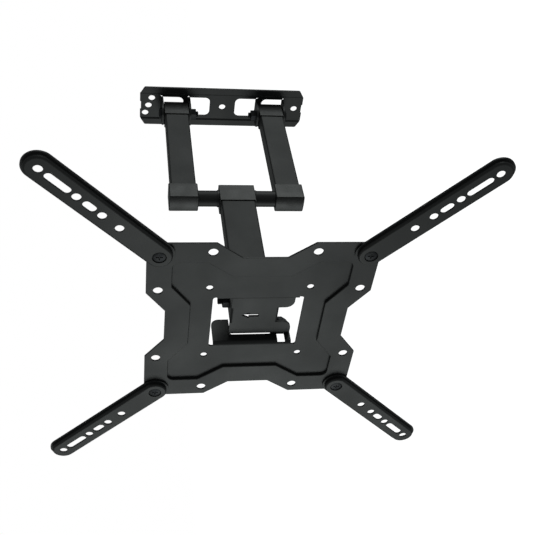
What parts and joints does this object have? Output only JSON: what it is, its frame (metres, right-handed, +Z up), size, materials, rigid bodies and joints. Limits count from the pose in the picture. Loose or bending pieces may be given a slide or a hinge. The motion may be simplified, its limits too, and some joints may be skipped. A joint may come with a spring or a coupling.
{
  "type": "full motion screen wall mount",
  "caption": "Black full motion screen wall mount: wall plate, paired swing arms, single third arm, swivel and tilt head, and a slotted four-armed screen plate.",
  "frame": {"origin": "centre of the wall plate's back face", "axes": "+Z up, +Y into the wall, -Y out towards the screen, +X to the right seen from the room; arms straight out at rest"},
  "size_m": [0.4294, 0.3978, 0.4294],
  "materials": {
    "black_powder_coat": "fine satin-matte black powder coat on pressed and drawn steel",
    "black_cap_plastic": "satin moulded black plastic",
    "black_zinc_fastener": "black zinc plated fasteners",
    "plain_steel": "plain turned steel, hidden in use",
    "black_nylon": "black nylon washers"
  },
  "bodies": {
    "wall_plate": {"wall_plate": "black_powder_coat", "wall_pivot_bolts": "black_zinc_fastener", "wall_pivot_nuts": "black_zinc_fastener", "wall_pivot_washers": "black_nylon"},
    "wall_arms": {"wall_arm_upper": "black_powder_coat", "wall_arm_lower": "black_powder_coat", "wall_cap_upper": "black_cap_plastic", "wall_cap_lower": "black_cap_plastic", "elbow_cap_upper": "black_cap_plastic", "elbow_cap_lower": "black_cap_plastic", "elbow_spacer_upper": "black_powder_coat", "elbow_spacer_lower": "black_powder_coat", "wall_pivot_bushes": "plain_steel", "elbow_axle": "plain_steel", "elbow_axle_ring": "plain_steel"},
    "third_arm": {"third_arm_tube": "black_powder_coat", "elbow_sleeve": "black_cap_plastic", "head_cap": "black_cap_plastic", "elbow_bush": "plain_steel", "head_bush": "plain_steel", "elbow_washers": "black_nylon"},
    "swivel_head": {"swivel_bracket": "black_powder_coat", "swivel_bolt": "black_zinc_fastener", "swivel_nut": "black_zinc_fastener", "swivel_washers": "black_nylon", "tilt_nuts": "black_zinc_fastener"},
    "screen_plate": {"vesa_plate": "black_powder_coat", "tilt_bolts": "black_zinc_fastener", "tilt_washers": "black_nylon", "arm_pivot_screws": "black_zinc_fastener", "arm_pivot_spacers": "black_zinc_fastener", "arm_pivot_nuts": "black_zinc_fastener"},
    "extension_arm_upper_right": {"extension_arm_upper_right": "black_powder_coat"},
    "extension_arm_upper_left": {"extension_arm_upper_left": "black_powder_coat"},
    "extension_arm_lower_left": {"extension_arm_lower_left": "black_powder_coat"},
    "extension_arm_lower_right": {"extension_arm_lower_right": "black_powder_coat"}
  },
  "joints": [
    {"name": "wall_swivel", "type": "hinge", "parent": "wall_plate", "child": "wall_arms", "pos_m": [0, -0.02, 0], "axis": [0, 0, 1], "range_deg": [-90, 90]},
    {"name": "elbow_swivel", "type": "hinge", "parent": "wall_arms", "child": "third_arm", "pos_m": [0, -0.193, 0], "axis": [0, 0, -1], "range_deg": [-160, 160]},
    {"name": "head_swivel", "type": "hinge", "parent": "third_arm", "child": "swivel_head", "pos_m": [0, -0.358, 0], "axis": [0, 0, 1], "range_deg": [-90, 90]},
    {"name": "screen_tilt", "type": "hinge", "parent": "swivel_head", "child": "screen_plate", "pos_m": [0, -0.3657, -0.031], "axis": [1, 0, 0], "range_deg": [-5, 15]},
    {"name": "extension_upper_right", "type": "hinge", "parent": "screen_plate", "child": "extension_arm_upper_right", "pos_m": [0.1, -0.39115, 0.1], "axis": [0, -1, 0], "range_deg": [-135, 135]},
    {"name": "extension_upper_left", "type": "hinge", "parent": "screen_plate", "child": "extension_arm_upper_left", "pos_m": [-0.1, -0.39115, 0.1], "axis": [0, -1, 0], "range_deg": [-135, 135]},
    {"name": "extension_lower_left", "type": "hinge", "parent": "screen_plate", "child": "extension_arm_lower_left", "pos_m": [-0.1, -0.39115, -0.1], "axis": [0, -1, 0], "range_deg": [-135, 135]},
    {"name": "extension_lower_right", "type": "hinge", "parent": "screen_plate", "child": "extension_arm_lower_right", "pos_m": [0.1, -0.39115, -0.1], "axis": [0, -1, 0], "range_deg": [-135, 135]}
  ]
}
